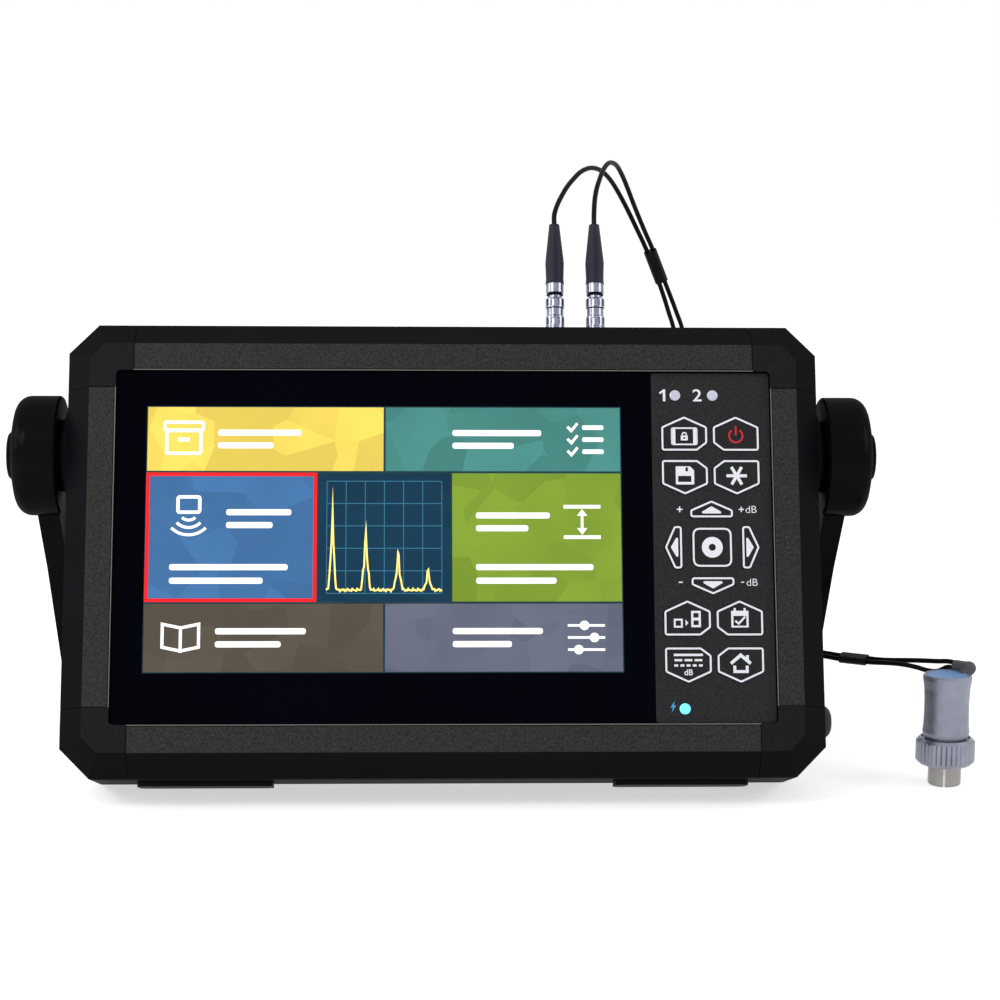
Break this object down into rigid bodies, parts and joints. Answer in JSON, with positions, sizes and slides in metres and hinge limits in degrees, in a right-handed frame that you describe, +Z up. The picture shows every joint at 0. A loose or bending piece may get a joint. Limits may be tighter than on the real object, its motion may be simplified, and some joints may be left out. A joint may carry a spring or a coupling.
{
  "type": "ultrasonic flaw detector",
  "caption": "Slim leaning case with a wide display, a keypad and a swinging stand handle on round hubs; two thin leads run from the top to a small knurled contact probe.",
  "frame": {"origin": "on the surface it stands on, under the middle of the case and its handle", "axes": "+X to the right of someone facing the display, +Y to the back, +Z up"},
  "size_m": [0.3226, 0.1596, 0.2061],
  "materials": {
    "frame": "moulded, fine leather grain",
    "shell": "moulded, fine grain",
    "seal": "matt",
    "feet": "matt",
    "cell_wrap": "smooth",
    "screws": "plated",
    "screen_glass": "polished, printed black behind the clear front",
    "display": "plain",
    "keypad": "fine grain",
    "keys": "satin with a pale outline",
    "lights": "translucent",
    "board": "lacquered",
    "plated": "satin plated",
    "hub": "smooth satin",
    "handle": "fine grain",
    "cap": "matt",
    "boot": "smooth",
    "lead": "smooth",
    "band": "shrunk sleeve",
    "probe": "bead blasted and anodised",
    "probe_tip": "ground",
    "relief": "smooth"
  },
  "bodies": {
    "case": {"rail_top": "frame", "rail_bottom": "frame", "rail_left": "frame", "rail_right": "frame", "corner_top_left": "frame", "corner_top_right": "frame", "corner_bottom_left": "frame", "corner_bottom_right": "frame", "case_seal": "seal", "back_shell": "shell", "battery_door": "shell", "battery_pack": "cell_wrap", "case_screws": "screws", "rubber_feet": "feet", "display_glass": "screen_glass", "display_module": "display", "keypad_plate": "keypad", "status_lights": "lights", "keypad_board": "board", "main_board": "board", "coax_sockets": "plated", "side_cap": "cap", "pivot_left": "hub", "pivot_right": "hub", "plug_left": "plated", "plug_right": "plated", "boot_left": "boot", "boot_right": "boot", "lead_left_front": "lead", "lead_right_front": "lead", "lead_left_coil": "lead", "lead_right_coil": "lead", "lead_left_tail": "lead", "lead_right_tail": "lead", "lead_bands": "band", "probe_body": "probe", "probe_nut": "probe", "probe_tip": "probe_tip", "probe_relief": "relief"},
    "handle": {"hub_left": "hub", "hub_right": "hub", "arm_left": "handle", "arm_right": "handle", "grip_bar": "handle", "release_springs": "screws"},
    "left_button": {"release_left": "hub"},
    "right_button": {"release_right": "hub"},
    "lock_key_pad": {"key_lock": "keys"},
    "power_key_pad": {"key_power": "keys"},
    "save_key_pad": {"key_save": "keys"},
    "mark_key_pad": {"key_mark": "keys"},
    "up_key_pad": {"key_up": "keys"},
    "down_key_pad": {"key_down": "keys"},
    "left_key_pad": {"key_left": "keys"},
    "right_key_pad": {"key_right": "keys"},
    "middle_key_pad": {"key_middle": "keys"},
    "windows_key_pad": {"key_windows": "keys"},
    "checklist_key_pad": {"key_checklist": "keys"},
    "lines_key_pad": {"key_lines": "keys"},
    "home_key_pad": {"key_home": "keys"}
  },
  "joints": [
    {"name": "handle_swing", "type": "hinge", "parent": "case", "child": "handle", "pos_m": [0, -0.01303, 0.1081], "axis": [1, 0, 0], "range_deg": [0, 216]},
    {"name": "left_release_press", "type": "slide", "parent": "handle", "child": "left_button", "axis": [1, 0, 0], "range_m": [0, 0.0025], "stiffness_N_per_m": 2000, "springref_m": -0.002},
    {"name": "right_release_press", "type": "slide", "parent": "handle", "child": "right_button", "axis": [-1, 0, 0], "range_m": [0, 0.0025], "stiffness_N_per_m": 2000, "springref_m": -0.002},
    {"name": "lock_press", "type": "slide", "parent": "case", "child": "lock_key_pad", "axis": [0, 0.9489, -0.3156], "range_m": [0, 0.0004], "stiffness_N_per_m": 2500, "springref_m": -0.0002},
    {"name": "power_press", "type": "slide", "parent": "case", "child": "power_key_pad", "axis": [0, 0.9489, -0.3156], "range_m": [0, 0.0004], "stiffness_N_per_m": 2500, "springref_m": -0.0002},
    {"name": "save_press", "type": "slide", "parent": "case", "child": "save_key_pad", "axis": [0, 0.9489, -0.3156], "range_m": [0, 0.0004], "stiffness_N_per_m": 2500, "springref_m": -0.0002},
    {"name": "mark_press", "type": "slide", "parent": "case", "child": "mark_key_pad", "axis": [0, 0.9489, -0.3156], "range_m": [0, 0.0004], "stiffness_N_per_m": 2500, "springref_m": -0.0002},
    {"name": "up_press", "type": "slide", "parent": "case", "child": "up_key_pad", "axis": [0, 0.9489, -0.3156], "range_m": [0, 0.0004], "stiffness_N_per_m": 2500, "springref_m": -0.0002},
    {"name": "down_press", "type": "slide", "parent": "case", "child": "down_key_pad", "axis": [0, 0.9489, -0.3156], "range_m": [0, 0.0004], "stiffness_N_per_m": 2500, "springref_m": -0.0002},
    {"name": "left_press", "type": "slide", "parent": "case", "child": "left_key_pad", "axis": [0, 0.9489, -0.3156], "range_m": [0, 0.0004], "stiffness_N_per_m": 2500, "springref_m": -0.0002},
    {"name": "right_press", "type": "slide", "parent": "case", "child": "right_key_pad", "axis": [0, 0.9489, -0.3156], "range_m": [0, 0.0004], "stiffness_N_per_m": 2500, "springref_m": -0.0002},
    {"name": "middle_press", "type": "slide", "parent": "case", "child": "middle_key_pad", "axis": [0, 0.9489, -0.3156], "range_m": [0, 0.0004], "stiffness_N_per_m": 2500, "springref_m": -0.0002},
    {"name": "windows_press", "type": "slide", "parent": "case", "child": "windows_key_pad", "axis": [0, 0.9489, -0.3156], "range_m": [0, 0.0004], "stiffness_N_per_m": 2500, "springref_m": -0.0002},
    {"name": "checklist_press", "type": "slide", "parent": "case", "child": "checklist_key_pad", "axis": [0, 0.9489, -0.3156], "range_m": [0, 0.0004], "stiffness_N_per_m": 2500, "springref_m": -0.0002},
    {"name": "lines_press", "type": "slide", "parent": "case", "child": "lines_key_pad", "axis": [0, 0.9489, -0.3156], "range_m": [0, 0.0004], "stiffness_N_per_m": 2500, "springref_m": -0.0002},
    {"name": "home_press", "type": "slide", "parent": "case", "child": "home_key_pad", "axis": [0, 0.9489, -0.3156], "range_m": [0, 0.0004], "stiffness_N_per_m": 2500, "springref_m": -0.0002}
  ]
}
